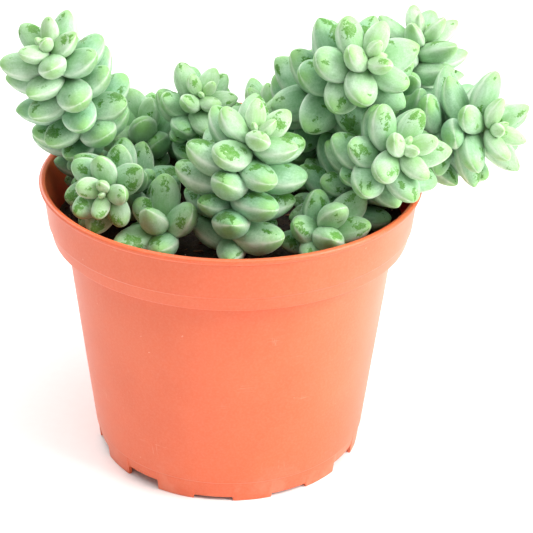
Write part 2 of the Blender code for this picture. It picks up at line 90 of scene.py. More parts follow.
# Shoots, as designed: route of the stem from the soil to the tip, length and plumpness of a grown
# leaf, and the heading in degrees at which the spiral of leaves starts
STEM_RADIUS = 1.7
STEM_TAPER = 0.45
CURVE_STEPS = 24  # points on a route's curve between two of its own
ROUTE_STEP = 0.5
BEAD_STEP = 1.5
GOLDEN_ANGLE = math.radians(137.508)
SHOOTS = {
    "shoot_left_tall": (((-34, 15, 72), (-39, 7, 89), (-43, -3, 108), (-49, -12, 126)), 15.0, 0.60, 0),
    "shoot_center": (((1, -25, 72), (0, -24, 85), (3, -24, 98), (7, -27, 109)), 16.5, 0.60, 40),
    "shoot_back_left": (((-19, 28, 72), (-15, 16, 88), (-8, 1, 108)), 13.5, 0.58, 80),
    "shoot_left_low": (((-23, 25, 72), (-24, 21, 81), (-26, 15, 91)), 15.0, 0.60, 120),
    "shoot_front_left": (((-25, 5, 72), (-29, -8, 83), (-34, -26, 90)), 14.5, 0.58, 160),
    "shoot_right_tall": (((26, 26, 72), (24, 18, 89), (28, 4, 107), (37, -13, 124)), 17.0, 0.60, 200),
    "shoot_back_right": (((33, 24, 72), (40, 25, 89), (48, 25, 101), (55, 23, 118)), 17.5, 0.50, 240),
    "shoot_far_right": (((39, 10, 72), (49, 6, 89), (59, -1, 99), (71, -15, 105)), 17.0, 0.50, 280),
    "shoot_right_front": (((30, -5, 72), (34, -10, 85), (39, -18, 96), (46, -28, 105)), 16.0, 0.58, 320),
    "shoot_front_low": (((-17, -18, 72), (-18, -20, 75), (-19, -23, 79)), 16.0, 0.58, 10),
    "shoot_front_right_low": (((24, -21, 72), (25, -23, 76), (26, -26, 80)), 15.5, 0.58, 70),
    "shoot_back_center": (((8, 36, 72), (9, 34, 83), (12, 30, 93)), 14.5, 0.58, 50),
}
# Shoots that lost their tip, and the age of the youngest leaf still on them
PINCHED = {"shoot_front_low": 6, "shoot_front_right_low": 6, "shoot_left_low": 5}
# Leaf spacing along a shoot, counted from its youngest leaf, closer together in the crown
FIRST_LEAF = 0.5
LEAF_PITCH = 1.35
CROWN_CROWDING = 6.3
CROWN_LEAVES = 7.0
BARE_FOOT = 2.0
# Growth with age, counted in leaves: how far a leaf leans off the stem, and its size
YOUNG_LEAN = 18.0
LEAN_GAIN = 70.0
LEAN_AGES = 5.0
LATE_LEAN = 0.6
BUD_SIZE = 0.24
GROWTH_AGES = 4.0
LATE_GROWTH = 0.003
UNEVENNESS = 0.05
UNEVEN_STEP = 7.3
BUD_PLUMPNESS = 0.05
BUD_AGES = 3.0
# Shape of a leaf
LEAF_CURL = 0.15
FOOT_POWER = 0.62
TIP_POWER = 0.64
NECK_END = 0.3
NECK_WIDTH = 0.25
# Crowding: leaves turn about their feet until they stop pressing on what is near
TOUCH_AT = np.array((0.16, 0.38, 0.62, 0.86))  # shares of a leaf's length
TOUCH_WIDTH = np.array((0.60, 0.95, 0.98, 0.68)) * 0.47  # its half thickness there, in widths
LEAF_MIDDLE = 0.6
NEAR_LEAVES = 21.0
NEAR_STEMS = 17.0
FAR_APART = 24.0
STRANGER_PUSH = 0.5
SISTER_PUSH = 0.3
STEM_PUSH = 0.6
WALL_PUSH = 0.6
WALL_LIFT = 0.4
MOST_WALL_PUSH = 6.0
HOMING = 0.03
MOST_TURN = 0.12
SPREAD_ROUNDS = 120
SOIL_CLEARANCE = 0.6
CROWDED_SIZES = (1.0, 0.9, 0.8, 0.7, 0.6)
RIM_HALF = 0.9  # half the thickness of the rim
BEADS = np.linspace(0.08, 0.96, 12)
MIDDLE_BEAD = 6

# Fallen leaves: foot, tip and width
LOOSE_LEAVES = {
    "loose_leaf_standing": ((-16.0, 9.0, 72.6), (-17.5, 7.5, 81.5), 4.6),
    "loose_leaf_wall": ((-44.0, 1.0, 75.0), (-40.0, -11.0, 75.4), 6.0),
    "loose_leaf_front": ((-2.0, -45.0, 75.2), (-14.0, -43.5, 75.2), 6.4),
}

Leaf = namedtuple("Leaf", "shoot age foot direction stem length width")


def unit(vectors):
    """The vectors at length one."""
    return vectors / np.linalg.norm(vectors, axis=-1, keepdims=True)


# ---- where the leaves are


def smooth_route(points, step):
    """Evenly spaced points along a smooth curve through the route's own points, and its length."""
    own = np.asarray(points, float)
    ends = np.vstack([2 * own[0] - own[1], own, 2 * own[-1] - own[-2]])
    line = []
    for a, b, c, d in zip(ends[:-3], ends[1:-2], ends[2:-1], ends[3:]):
        for t in np.linspace(0, 1, CURVE_STEPS, endpoint=False):
            cubic = (3 * b - a - 3 * c + d) * t**3
            line.append(0.5 * (2 * b + (c - a) * t + (2 * a - 5 * b + 4 * c - d) * t**2 + cubic))
    line = np.array(line + [own[-1]])
    along = np.concatenate([[0], np.cumsum(np.linalg.norm(np.diff(line, axis=0), axis=1))])
    wanted = np.linspace(0, along[-1], max(4, round(along[-1] / step)))
    return np.stack([np.interp(wanted, along, line[:, k]) for k in range(3)], 1), along[-1]


def stem_frames(line):
    """The stem's direction and one untwisted sideways direction at each of its points."""
    ahead = unit(np.gradient(line, axis=0))
    side = unit(np.cross(ahead[0], (0.0, 1.0, 0.2)))
    sides = []
    for direction in ahead:
        side = unit(side - direction * (side @ direction))
        sides.append(side)
    return ahead, np.array(sides)


def shoot_leaves(shoot):
    """The leaves of one shoot, from the youngest at its tip down to the oldest."""
    route, grown_length, plumpness, first_turn = SHOOTS[shoot]
    line, length = smooth_route(route, ROUTE_STEP)
    ahead, sides = stem_frames(line)
    leaves = []
    while True:
        age = len(leaves) + PINCHED.get(shoot, 0)
        crowding = CROWN_CROWDING * (1 - math.exp(-len(leaves) / CROWN_LEAVES))
        back = FIRST_LEAF + LEAF_PITCH * len(leaves) - crowding
        if back > length - BARE_FOOT:
            return leaves
        place = (len(line) - 1) * (1 - back / length)
        low = min(int(place), len(line) - 2)
        share = place - low
        foot = line[low] * (1 - share) + line[low + 1] * share
        stem = unit(ahead[low] * (1 - share) + ahead[low + 1] * share)
        side = unit(sides[low] - stem * (sides[low] @ stem))
        heading = age * GOLDEN_ANGLE + math.radians(first_turn)
        out = side * math.cos(heading) + np.cross(stem, side) * math.sin(heading)
        lean = YOUNG_LEAN + LEAN_GAIN * (1 - math.exp(-age / LEAN_AGES)) + LATE_LEAN * age
        lean = math.radians(lean)
        direction = unit(stem * math.cos(lean) + out * math.sin(lean))
        growth = BUD_SIZE + (1 - BUD_SIZE) * (1 - math.exp(-age / GROWTH_AGES)) + LATE_GROWTH * age
        leaf_length = grown_length * growth * (1 + UNEVENNESS * math.sin(UNEVEN_STEP * age))
        width = leaf_length * (plumpness + BUD_PLUMPNESS * math.exp(-age / BUD_AGES))
        leaves.append(Leaf(shoot, age, foot, direction, stem, leaf_length, width))


def pushed_apart(a, b, reach, share):
    """How far to move points a off points b that are nearer than reach."""
    away = a - b
    distance = np.linalg.norm(away, axis=-1) + 1e-9
    return away / distance[..., None] * (np.clip(reach - distance, 0, None) * share)[..., None]


def wall_middle(height):
    """Radius of the middle of the pot's wall at a height inside its band, and of the lip above it."""
    heights = (POT_HEIGHT - BAND_HEIGHT, POT_HEIGHT - LIP_HEIGHT, LIP_MIDDLE)
    radii = (BAND_FOOT_RADIUS - WALL / 2, BAND_TOP_RADIUS - WALL / 2, LIP_RADIUS - RIM_HALF)
    return np.interp(height, heights, radii)


def nearest_on_wall(points):
    """The point of the wall's middle that is level with each point, or the rim for those above it."""
    return level_with(points, np.minimum(points[..., 2], LIP_MIDDLE))


def level_with(points, height):
    """The point of the wall's middle in each point's heading, at a height."""
    height = np.broadcast_to(height, points.shape[:-1])[..., None]
    return np.concatenate([unit(points[..., :2]) * wall_middle(height), height], -1)


def off_the_wall(points, radii, feet):
    """Lifts leaves over the pot's rim, and keeps those that grow below it inside the wall."""
    outward = unit(points[..., :2])
    around = np.hypot(points[..., 0], points[..., 1])
    low = (feet[:, 2] < POT_HEIGHT + 1)[:, None] & (points[..., 2] < POT_HEIGHT)
    room = wall_middle(points[..., 2]) - RIM_HALF - 2 * GAP - around - radii
    inward = np.where(low, np.clip(-room, 0, MOST_WALL_PUSH), 0)[..., None]
    push = np.concatenate([-WALL_PUSH * outward * inward, WALL_LIFT * inward], -1)
    reach = np.where(low, 0, radii + RIM_HALF + GAP)
    return push + pushed_apart(points, nearest_on_wall(points), reach, 1.0)


def spread(leaves, stems, stem_owners):
    """Turns the leaves about their feet until they stop pressing into each other and what is near."""
    owners = np.array([leaf.shoot for leaf in leaves])
    feet = np.array([leaf.foot for leaf in leaves])
    directions = np.array([leaf.direction for leaf in leaves])
    lengths = np.array([leaf.length for leaf in leaves])[:, None]
    radii = np.array([leaf.width for leaf in leaves])[:, None] * TOUCH_WIDTH
    reach = lengths * TOUCH_AT
    middle = feet + directions * lengths * LEAF_MIDDLE
    near = np.linalg.norm(middle[:, None] - middle[None], axis=-1) < NEAR_LEAVES
    first, second = np.nonzero(np.triu(near, 1))
    strangers = (owners[first] != owners[second])[:, None, None]
    at_foot = np.zeros((len(TOUCH_AT), len(TOUCH_AT)), bool)
    at_foot[0, :] = at_foot[:, 0] = True  # leaves of one shoot do touch where they meet the stem
    pair_reach = radii[first][:, :, None] + radii[second][:, None] + np.where(strangers, 2 * GAP, 0)
    pair_reach = np.where(at_foot & ~strangers, 0, pair_reach)
    pair_share = np.where(strangers, STRANGER_PUSH, SISTER_PUSH)
    by_stem = np.linalg.norm(middle[:, None] - stems[None], axis=-1) < NEAR_STEMS
    leaf, stem = np.nonzero(by_stem & (owners[:, None] != stem_owners[None]))
    home = directions.copy()
    for _ in range(SPREAD_ROUNDS):
        points = feet[:, None] + directions[:, None] * reach[..., None]
        push = off_the_wall(points, radii, feet)
        force = pushed_apart(points[first][:, :, None], points[second][:, None], pair_reach, pair_share)
        np.add.at(push, first, force.sum(2))
        np.add.at(push, second, -force.sum(1))
        stem_reach = radii[leaf] + STEM_RADIUS + 2 * GAP
        np.add.at(push, leaf, pushed_apart(points[leaf], stems[stem][:, None], stem_reach, STEM_PUSH))
        push[..., 2] += np.clip(SOIL_TOP + SOIL_CLEARANCE + radii - points[..., 2], 0, None)
        turn = (push / reach[..., None]).sum(1) + HOMING * (home - directions)
        turn -= directions * (turn * directions).sum(1, keepdims=True)
        size = np.linalg.norm(turn, axis=1, keepdims=True)
        directions = unit(directions + turn * np.minimum(1, MOST_TURN / (size + 1e-9)))
    return [leaf._replace(direction=way) for leaf, way in zip(leaves, directions)]


def leaf_half_width(share, width, tip_power=TIP_POWER, neck=NECK_WIDTH):
    """Half a leaf's width at a share of its length: a narrow foot, a belly and a blunt point."""
    belly = FOOT_POWER / (FOOT_POWER + tip_power)
    outline = (share / belly) ** FOOT_POWER * ((1 - share) / (1 - belly)) ** tip_power
    return np.maximum(outline, np.where(share < NECK_END, neck, 0)) * width / 2


def leaf_axis(leaf, share):
    """Points on the middle line of a leaf, which curls up towards the stem's tip."""
    upper = unit(leaf.stem - leaf.direction * (leaf.stem @ leaf.direction))
    share = np.asarray(share, float)[:, None]
    return leaf.foot + leaf.length * (leaf.direction * share + upper * LEAF_CURL * share**2)


def leaf_beads(leaf):
    """Points and radii that fill a leaf, for testing what it meets."""
    return leaf_axis(leaf, BEADS), leaf_half_width(BEADS, leaf.width)


def has_room(leaf, stems):
    """Whether a leaf stays clear of the other shoots' stems, the rim and the soil."""
    points, radii = leaf_beads(leaf)
    to_stem = np.linalg.norm(points[:, None] - stems[None], axis=-1) - radii[:, None] - STEM_RADIUS
    wall = np.stack([nearest_on_wall(points), level_with(points, LIP_MIDDLE)])
    to_wall = np.linalg.norm(points - wall, axis=-1) - radii - RIM_HALF
    to_soil = points[:, 2] - radii - SOIL_TOP
    return to_stem.min() > GAP and to_wall.min() > GAP and to_soil.min() > GAP


def touch(one, other):
    """Whether two leaves, each given as its beads, come nearer than the gap."""
    if np.linalg.norm(one[0][MIDDLE_BEAD] - other[0][MIDDLE_BEAD]) > FAR_APART:
        return False
    apart = np.linalg.norm(one[0][:, None] - other[0][None], axis=-1)
    return (apart - one[1][:, None] - other[1][None]).min() < GAP


def loose_leaf(name):
    """A fallen leaf: one that lies has its upper side up, and one that stands has it to the front."""
    foot, tip, width = LOOSE_LEAVES[name]
    along = np.subtract(tip, foot)
    length = np.linalg.norm(along)
    upper = FRONT if along[2] > length / 2 else UP
    return Leaf(name, 0, np.array(foot), along / length, upper, length, width)


def grow():
    """Every leaf that has room, the youngest first. A crowded one is made smaller."""
    leaves = [leaf for shoot in SHOOTS for leaf in shoot_leaves(shoot)]
    beads = {shoot: smooth_route(SHOOTS[shoot][0], BEAD_STEP)[0] for shoot in SHOOTS}
    stems = np.concatenate(list(beads.values()))
    stem_owners = np.repeat(list(beads), [len(line) for line in beads.values()])
    leaves = spread(leaves, stems, stem_owners)
    loose = [loose_leaf(name) for name in LOOSE_LEAVES]
    chosen = [(leaf, leaf_beads(leaf)) for leaf in loose]
    for leaf in sorted(leaves, key=lambda leaf: leaf.age):
        strangers = [bead for other, bead in chosen if other.shoot != leaf.shoot]
        for size in CROWDED_SIZES:
            tried = leaf._replace(length=leaf.length * size, width=leaf.width * size)
            mine = leaf_beads(tried)
            free = has_room(tried, stems[stem_owners != leaf.shoot])
            if free and not any(touch(mine, theirs) for theirs in strangers):
                chosen.append((tried, mine))
                break
    return [leaf for leaf, _ in chosen]


# ---- mesh tools


def placed(points):
    """Design millimetres to metres at the pot's place."""
    return np.asarray(points, float) * MM + POT_AXIS


def add_object(name, data):
    """A new object in the scene that shows the data."""
    thing = bpy.data.objects.new(name, data)
    bpy.context.scene.collection.objects.link(thing)
    return thing


def mesh_object(name, material, points, faces, uvs=None, smooth=True):
    """A mesh from points in design millimetres. uvs has one row for each corner of each face."""
    mesh = bpy.data.meshes.new(name)
    mesh.from_pydata(placed(points).tolist(), [], [tuple(face) for face in faces])
    if uvs is not None:
        layer = mesh.uv_layers.new(name="OFBake")
        layer.data.foreach_set("uv", np.asarray(uvs, np.float32).ravel())
    mesh.polygons.foreach_set("use_smooth", [smooth] * len(mesh.polygons))
    mesh.materials.append(material)
    return add_object(name, mesh)


def point_values(thing, name, values, kind="FLOAT", field="value"):
    """A named number or vector for each point of a mesh, which its material reads."""
    attribute = thing.data.attributes.new(name, kind, "POINT")
    attribute.data.foreach_set(field, np.asarray(values, np.float32).ravel())


def grid_faces(rings, sides):
    """Quads of a tube of rings, and the column and row of each of their corners."""
    cells = [((column, row), (column + 1, row), (column + 1, row + 1), (column, row + 1))
             for row in range(rings - 1) for column in range(sides)]
    faces = [tuple(row * sides + column % sides for column, row in cell) for cell in cells]
    return faces, cells


def capped_faces(rings, sides):
    """The same for a tube that ends in one more point at its first ring, and then one at its last."""
    faces, cells = grid_faces(rings, sides)
    foot, tip = rings * sides, rings * sides + 1
    last = (rings - 1) * sides
    for column in range(sides):
        after = (column + 1) % sides
        faces.append((foot, after, column))
        cells.append(((column + 0.5, -1), (column + 1, 0), (column, 0)))
        faces.append((last + column, last + after, tip))
        cells.append(((column, rings - 1), (column + 1, rings - 1), (column + 0.5, rings)))
    return faces, cells


def shifted(faces, first):
    """Faces of a body whose points start at first."""
    return [tuple(first + i for i in face) for face in faces]


# ---- leaves

RINGS = 28
SIDES = 24
MARGIN_CROWDING = 0.28  # how much closer the columns are to each other along a leaf's two margins
# A leaf's section and outline, in half widths: the upper side is flatter than the belly
POINTEDNESS = (0.48, 0.68)
NECK = 0.26
TOP_THICKNESS = 0.70
TOP_FLATNESS = 2.4
TOP_SHOULDER = 0.68
BELLY_THICKNESS = 0.95
CHANNEL = 0.06  # depth of the shallow channel along a grown leaf's upper side
CHANNEL_VARIETY = (0.2, 1.6)
CHANNEL_WIDTH = 0.5
CHANNEL_AGES = 5
SWAY = 0.03
LUMP_WAVES = ((1.0, 1), (1.7, 2), (2.6, 1), (3.4, 3))  # how often along a leaf, and round it
LUMP_PITCH = 1.6
LUMP_HEIGHT = 0.02
# Thick bloom along the margins, which also paints a highlight along the leaves' outlines, and thin bloom
# in the middle near the foot, which also paints shade where a leaf meets its stem
MARGIN_BREADTH = 0.03
MARGIN_START = 0.12
MARGIN_RISE = 3.0
UNDERSIDE_MIDDLE = 0.25
MIDDLE_FADE = 0.7
# The rub near a leaf's tip: its size is LEAST and up to GAIN more, seldom the most
TIP_RUB_LEAST = 0.05
TIP_RUB_GAIN = 0.12
TIP_RUB_RARITY = 1.6
TIP_RUB_ALONG = (0.74, 0.92)
TIP_RUB_BESIDE = (-0.4, 0.4)
TIP_RUB_BREADTH = (1.3, 2.6)
# Other rubs: chance, range along the leaf, range beside its middle, range of lengths, and breadth
SIDE_RUBS = (
    (0.55, (0.55, 0.92), (0.55, 0.95), (0.06, 0.16), 0.14),
    (0.40, (0.30, 0.80), (0.0, 0.7), (0.03, 0.09), 0.20),
    (0.30, (0.60, 0.85), (0.2, 0.8), (0.08, 0.15), 0.45),
)
SIDE_RUB_DEPTH = 0.95
UNDERSIDE_RUB = 0.3
UPPER_RUB_RISE = 2.0
PATTERN_SHIFT = 60
TILE_MARGIN = 0.04


def leaf_shares():
    """Places of the rings along a leaf, closer together at its foot and tip."""
    turns = np.linspace(0, math.pi, RINGS + 2)[1:-1]
    return (1 - np.cos(turns)) / 2


def lumps(share, angle, rng):
    """Shallow swellings, so that no leaf is a perfect spindle."""
    total = np.zeros(np.broadcast_shapes(share.shape, angle.shape))
    for wave, turns in LUMP_WAVES:
        phase, twist = rng.uniform(0, math.tau, 2)
        along = np.sin(share * wave * math.pi * LUMP_PITCH + phase)
        total = total + along * np.cos(turns * angle + twist) / wave
    return total


def rubbed(share, across, above, wear, rng):
    """How far the bloom is rubbed off: near the tip on the upper side, and here and there elsewhere."""
    size = (TIP_RUB_LEAST + TIP_RUB_GAIN * rng.random() ** TIP_RUB_RARITY) * wear
    place = rng.uniform(*TIP_RUB_ALONG), rng.uniform(*TIP_RUB_BESIDE)
    spots = [(*place, size, size * rng.uniform(*TIP_RUB_BREADTH), 1.0)]
    for chance, places, beside, lengths, breadth in SIDE_RUBS:
        if rng.random() < chance * wear:
            side = rng.choice((-1.0, 1.0))
            place = rng.uniform(*places), side * rng.uniform(*beside)
            spots.append((*place, rng.uniform(*lengths), breadth, SIDE_RUB_DEPTH))
    total = np.zeros_like(share + across)
    for along, beside, length, breadth, depth in spots:
        away = ((share - along) / length) ** 2 + ((across - beside) / breadth) ** 2
        total = np.maximum(total, depth * np.exp(-0.5 * away))
    return total * np.clip(UNDERSIDE_RUB + above * UPPER_RUB_RISE, 0, 1)


def leaf_marks(share, across, lift, above, wear, rng):
    """What a leaf's material reads at each point of its rings, then at its foot and its tip."""
    along, beside = np.broadcast_arrays(share, across)
    # The pale margin line: thick bloom, and partly a painted highlight along the leaf's outline
    margin_bloom_and_highlight = np.exp(-((1 - np.abs(beside)) / MARGIN_BREADTH))
    margin_bloom_and_highlight = margin_bloom_and_highlight * np.clip((along - MARGIN_START) * MARGIN_RISE, 0, 1)
    # Less bloom in the middle towards the foot; the darker green there partly paints the shade where the
    # leaf meets its stem
    middle = np.where(lift > 0, 1 - beside**2, UNDERSIDE_MIDDLE) * (1 - along) ** MIDDLE_FADE
    return {
        "along": np.append(along.ravel(), (0.0, 1.0)),
        "rub": np.append(rubbed(share, across, above, wear, rng).ravel(), (0.0, 0.2)),
        "edge_bloom_and_highlight": np.append(margin_bloom_and_highlight.ravel(), (0.0, 1.0)),
        "middle": np.append(middle.ravel(), (1.0, 0.0)),
    }


def leaf_surface(leaf, wear, rng):
    """Points of one leaf, where each is in its pattern, and what its material reads there."""
    share = leaf_shares()[:, None]
    turn = np.linspace(0, math.tau, SIDES, endpoint=False)[None, :]
    angle = turn - MARGIN_CROWDING * np.sin(2 * turn)
    outline = leaf_half_width(share, leaf.width, rng.uniform(*POINTEDNESS), NECK)
    across, lift = np.cos(angle), np.sin(angle)
    flat_top = TOP_THICKNESS * (1 - np.abs(across) ** TOP_FLATNESS) ** TOP_SHOULDER
    above = np.where(lift > 0, flat_top, lift * BELLY_THICKNESS)
    depth = CHANNEL * rng.uniform(*CHANNEL_VARIETY)
    channel = depth * np.exp(-((across / CHANNEL_WIDTH) ** 2)) * (lift > 0)
    above = above - channel * np.sin(math.pi * share) * min(1.0, leaf.age / CHANNEL_AGES)
    swell = 1 + LUMP_HEIGHT * lumps(share, angle, rng)
    upper = unit(leaf.stem - leaf.direction * (leaf.stem @ leaf.direction))
    side = np.cross(upper, leaf.direction)
    sway = rng.normal(0, SWAY) * leaf.length * (share**2 - share)
    sideways = (across * outline * swell + sway)[..., None] * side
    upwards = (above * outline * swell)[..., None] * upper
    line = leaf_axis(leaf, share[:, 0])[:, None, :]
    ends = leaf_axis(leaf, np.array((0.0, 1.0)))
    points = np.vstack([(line + (sideways + upwards)).reshape(-1, 3), ends])
    long = leaf.length / leaf.width
    half_widths = (across * outline / leaf.width * 2, share * long * 2, above * outline / leaf.width * 2)
    pattern = np.stack(np.broadcast_arrays(*half_widths), -1).reshape(-1, 3)
    pattern = np.vstack([pattern, (0, 0, 0), (0, long * 2, 0)]) + rng.uniform(0, PATTERN_SHIFT, 3)
    return points, pattern, leaf_marks(share, across, lift, above, wear, rng)


# How worn the bloom of a shoot is, where it differs from the others, and how it grows with age
WEAR = {
    "shoot_center": 1.5, "shoot_front_left": 1.4, "shoot_front_low": 1.3, "shoot_front_right_low": 1.3,
    "shoot_right_front": 1.1, "shoot_back_left": 0.8, "shoot_back_right": 0.6, "shoot_far_right": 0.8,
}
USUAL_WEAR = 0.7
BUD_CARE = 0.6
WEAR_AGES = 5
# How fast a leaf's colour turns with age from the young one to the darker old one, which partly paints
# shade on the low leaves
YOUTH_AGES = 7


def tile_corners(cells, number, tiles):
    """Where the corners of a leaf's faces are in the UV map, each leaf on its own tile."""
    column, row = number % tiles, number // tiles
    corners = []
    for cell in cells:
        for u, v in cell:
            u = TILE_MARGIN + (1 - 2 * TILE_MARGIN) * u / SIDES
            v = TILE_MARGIN + (1 - 2 * TILE_MARGIN) * (v + 1) / (RINGS + 1)
            corners.append(((column + u) / tiles, (row + v) / tiles))
    return corners


def leaf_piece(name, leaves, material):
    """All the leaves of one shoot, or one fallen leaf."""
    tiles = math.ceil(math.sqrt(len(leaves)))
    wear = WEAR.get(leaves[0].shoot, USUAL_WEAR)
    own_faces, cells = capped_faces(RINGS, SIDES)
    points, patterns, faces, uvs = [], [], [], []
    values = defaultdict(list)
    for number, leaf in enumerate(leaves):
        rng = np.random.default_rng([number, sum(name.encode())])
        handled = wear * (1 - BUD_CARE * math.exp(-leaf.age / WEAR_AGES))
        surface, pattern, found = leaf_surface(leaf, handled, rng)
        faces += shifted(own_faces, number * len(surface))
        points.append(surface)
        patterns.append(pattern)
        uvs += tile_corners(cells, number, tiles)
        # Youth fades with age, so the old, low leaves get the darker colours that partly paint shade
        found["young_and_lit"] = np.full(len(surface), math.exp(-leaf.age / YOUTH_AGES))
        found["tone"] = np.full(len(surface), rng.random())
        for key, value in found.items():
            values[key].append(value)
    thing = mesh_object(name, material, np.vstack(points), faces, uvs)
    for key, value in values.items():
        point_values(thing, key, np.concatenate(value))
    point_values(thing, "leaf_at", np.vstack(patterns), "FLOAT_VECTOR", "vector")
    return thing


STEM_SIDES = 14
STEM_RING_STEP = 0.7
SCAR_HEIGHT = 0.16
SCAR_PITCH = 1.3


def stem_piece(name, shoot, material):
    """A short-jointed stem with the scars of lost leaves, from its socket in the soil to the bud."""
    line, length = smooth_route(SHOOTS[shoot][0], STEM_RING_STEP)
    ahead, sides = stem_frames(line)
    line = np.vstack([line[0] - UP * SOCKET_DEPTH, line])
    ahead = np.vstack([UP, ahead])
    sides = np.vstack([sides[0], sides])
    turns = np.linspace(0, math.tau, STEM_SIDES, endpoint=False)
    rings = []
    for k, (point, way, side) in enumerate(zip(line, ahead, sides)):
        side = unit(side - way * (side @ way))
        share = max(0, k - 1) / (len(line) - 2)
        along = share * length
        scar = SCAR_HEIGHT * np.cos(turns - along / SCAR_PITCH * GOLDEN_ANGLE)
        scar = scar * abs(math.sin(along / SCAR_PITCH * math.pi))
        radius = STEM_RADIUS * (1 - STEM_TAPER * share) + scar
        ring = np.cos(turns)[:, None] * side + np.sin(turns)[:, None] * np.cross(way, side)
        rings.append(point + radius[:, None] * ring)
    points = np.vstack(rings)
    faces, _ = grid_faces(len(rings), STEM_SIDES)
    faces.append(tuple(range(STEM_SIDES))[::-1])
    faces.append(tuple(range(len(points) - STEM_SIDES, len(points))))
    return mesh_object(name, material, points, faces)


# ---- pot

SECTION_STEP = 4.0  # between points on the straight stretches of the section
EDGE_COLUMNS = 5
FLAT_COLUMNS = 8
WARP = 0.12  # how far out of round the rim is
WARP_HEADING = 0.7
WARP_FROM_RADIUS = 30.0
UV_EDGE = 0.01
WALL_UV = 0.95
HOLE_UV = 0.975
CUTTER_MIDDLE = 4.0
CUTTER_LENGTH = 8.0
CUTTER_SIDES = 40
SHARP_ANGLE = math.radians(35)


def body_radius(height):
    """Outer radius of the pot's plain tapered body."""
    return FOOT_RADIUS + (BODY_TOP_RADIUS - FOOT_RADIUS) * height / (POT_HEIGHT - BAND_HEIGHT)


def rounded(before, corner, after, radius, steps=4):
    """Points that round one corner of an outline."""
    before, corner, after = (np.asarray(p, float) for p in (before, corner, after))
    start = corner + unit(before - corner) * radius
    end = corner + unit(after - corner) * radius
    share = np.linspace(0, 1, steps + 1)[:, None]
    curve = start * (1 - share) ** 2 + 2 * corner * share * (1 - share) + end * share**2
    return [tuple(point) for point in curve]


def pot_outline():
    """Radius, height and rounding of each corner of the wall, from underside to lip to floor."""
    step = POT_HEIGHT - BAND_HEIGHT
    lip = POT_HEIGHT - LIP_HEIGHT
    floor_top = FLOOR_UNDERSIDE + FLOOR_THICKNESS
    ring = FOOT_RING_HEIGHT
    return [
        (DRAIN_RADIUS, FLOOR_UNDERSIDE, 0.25),
        (body_radius(FLOOR_UNDERSIDE) - FOOT_RING_STEP - WALL, FLOOR_UNDERSIDE, 0.4),
        (body_radius(0) - FOOT_RING_STEP - WALL, 0.0, 0.25),
        (body_radius(0) - FOOT_RING_STEP, 0.0, 0.3),
        (body_radius(ring) - FOOT_RING_STEP, ring, 0.2),
        (body_radius(ring), ring + 0.35, 0.2),
        (BODY_TOP_RADIUS, step, 0.7),
        (BAND_FOOT_RADIUS, step, 0.5),
        (RIDGE_RADIUS - 0.1, POT_HEIGHT - BAND_RIDGE, 0.3),
        (RIDGE_RADIUS + 0.25, POT_HEIGHT - BAND_RIDGE + 0.35, 0.2),
        (BAND_TOP_RADIUS, lip - 0.5, 0.35),
        (LIP_RADIUS - 0.25, lip - 0.05, 0.3),
        (LIP_RADIUS, POT_HEIGHT - 0.55, 0.4),
        (LIP_RADIUS - 0.7, POT_HEIGHT, 0.45),
        (LIP_RADIUS - 1.9, POT_HEIGHT - 0.35, 0.4),
        (BAND_TOP_RADIUS - WALL, lip - 1.0, 0.4),
        (BAND_FOOT_RADIUS - WALL, step + WALL, 0.6),
        (BODY_TOP_RADIUS - WALL, step + WALL - 0.4, 0.5),
        (body_radius(floor_top) - WALL, floor_top, 0.6),
        (DRAIN_RADIUS, floor_top, 0.25),
    ]


def pot_section():
    """The outline with rounded corners and points between them."""
    corners = pot_outline()
    section = []
    for k, (radius, height, rounding) in enumerate(corners):
        before, after = corners[k - 1][:2], corners[(k + 1) % len(corners)][:2]
        section += rounded(before, (radius, height), after, rounding)
    full = []
    for a, b in zip(section, section[1:] + section[:1]):
        count = max(1, round(math.dist(a, b) / SECTION_STEP))
        full += [tuple(np.add(a, np.subtract(b, a) * n / count)) for n in range(count)]
    return full


def notch_depth(angle):
    """How high the foot ring is cut away at an angle from the front, turning to the right."""
    place = (angle - FIRST_FOOT) / FOOT_PITCH
    number = math.floor(place) % FEET
    off_middle = abs(place - math.floor(place) - 0.5) * FOOT_PITCH
    inside = min(1.0, max(0.0, (NOTCH_ANGLE / 2 - off_middle) / NOTCH_EDGE + 0.5))
    deep = DEEP_NOTCH if number in DEEP_NOTCHES else SHALLOW_NOTCH
    return deep * inside**2 * (3 - 2 * inside)


def pot_angles():
    """Columns round the pot, close together where a foot begins or ends."""
    foot = FOOT_PITCH - NOTCH_ANGLE
    across_edge = NOTCH_EDGE * np.linspace(-0.5, 0.5, EDGE_COLUMNS)
    angles = []
    for k in range(FEET):
        middle = FIRST_FOOT + FOOT_PITCH * (k + 0.5)
        for side in (-0.5, 0.5):
            angles += list(middle + side * NOTCH_ANGLE + across_edge)
        angles += list(middle + NOTCH_ANGLE * np.linspace(-0.5, 0.5, FLAT_COLUMNS + 2)[1:-1])
        angles += list(middle + NOTCH_ANGLE / 2 + foot * np.linspace(0, 1, FLAT_COLUMNS + 2)[1:-1])
    return np.sort(angles)


